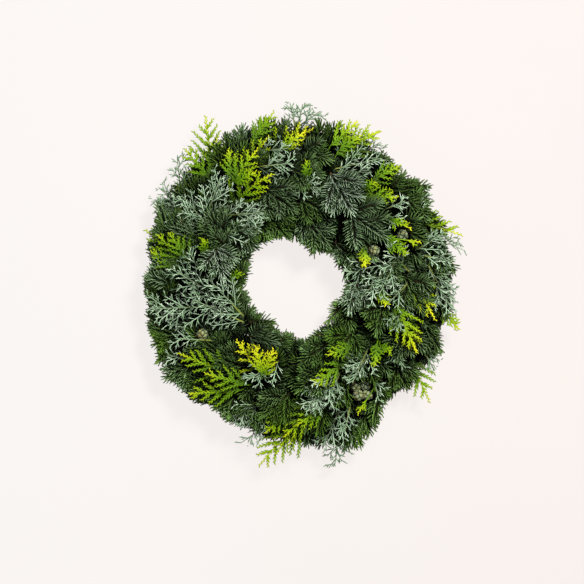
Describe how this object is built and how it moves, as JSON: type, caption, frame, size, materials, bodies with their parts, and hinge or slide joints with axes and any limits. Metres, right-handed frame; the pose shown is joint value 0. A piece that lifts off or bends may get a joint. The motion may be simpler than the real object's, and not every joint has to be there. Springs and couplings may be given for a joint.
{
  "type": "evergreen wreath",
  "caption": "Round fresh wreath of fir, blue cypress and gold cypress sprays with small cypress cones, wired to a straw ring that lies flat.",
  "frame": {"origin": "on the surface the wreath lies on, under the middle of the whole outline", "axes": "+Z out of the front of the wreath, which faces up as it lies; +Y towards the top of the front view; +X towards its right"},
  "size_m": [0.5234, 0.5788, 0.1023],
  "materials": {
    "straw": "rough bound straw",
    "wire": "green lacquered wire",
    "fir": "living needles, waxy and slightly glossy",
    "blue_cypress": "living scale leaves, matt and waxy",
    "gold_cypress": "living scale leaves, soft sheen",
    "cone": "matt woody scales"
  },
  "bodies": {
    "root": {"binding_wire": "wire", "blue_cypress_01": "blue_cypress", "blue_cypress_02": "blue_cypress", "blue_cypress_03": "blue_cypress", "blue_cypress_04": "blue_cypress", "blue_cypress_05": "blue_cypress", "blue_cypress_06": "blue_cypress", "blue_cypress_07": "blue_cypress", "blue_cypress_08": "blue_cypress", "blue_cypress_09": "blue_cypress", "blue_cypress_10": "blue_cypress", "blue_cypress_11": "blue_cypress", "blue_cypress_12": "blue_cypress", "blue_cypress_13": "blue_cypress", "blue_cypress_14": "blue_cypress", "cypress_cones_01": "cone", "cypress_cones_02": "cone", "cypress_cones_03": "cone", "cypress_cones_04": "cone", "fir_inner_01": "fir", "fir_inner_02": "fir", "fir_inner_03": "fir", "fir_inner_04": "fir", "fir_inner_05": "fir", "fir_inner_06": "fir", "fir_inner_07": "fir", "fir_outer_01": "fir", "fir_outer_02": "fir", "fir_outer_03": "fir", "fir_outer_04": "fir", "fir_outer_05": "fir", "fir_outer_06": "fir", "fir_outer_07": "fir", "fir_outer_08": "fir", "fir_outer_09": "fir", "fir_outer_10": "fir", "fir_outer_11": "fir", "fir_top_01": "fir", "fir_top_02": "fir", "fir_top_03": "fir", "fir_top_04": "fir", "fir_top_05": "fir", "fir_top_06": "fir", "fir_top_07": "fir", "fir_top_08": "fir", "gold_cypress_01": "gold_cypress", "gold_cypress_02": "gold_cypress", "gold_cypress_03": "gold_cypress", "gold_cypress_04": "gold_cypress", "gold_cypress_05": "gold_cypress", "gold_cypress_06": "gold_cypress", "gold_cypress_07": "gold_cypress", "gold_cypress_08": "gold_cypress", "gold_cypress_09": "gold_cypress", "gold_cypress_10": "gold_cypress", "gold_cypress_11": "gold_cypress", "gold_cypress_12": "gold_cypress", "gold_cypress_13": "gold_cypress", "gold_cypress_14": "gold_cypress", "straw_ring": "straw"}
  },
  "joints": []
}
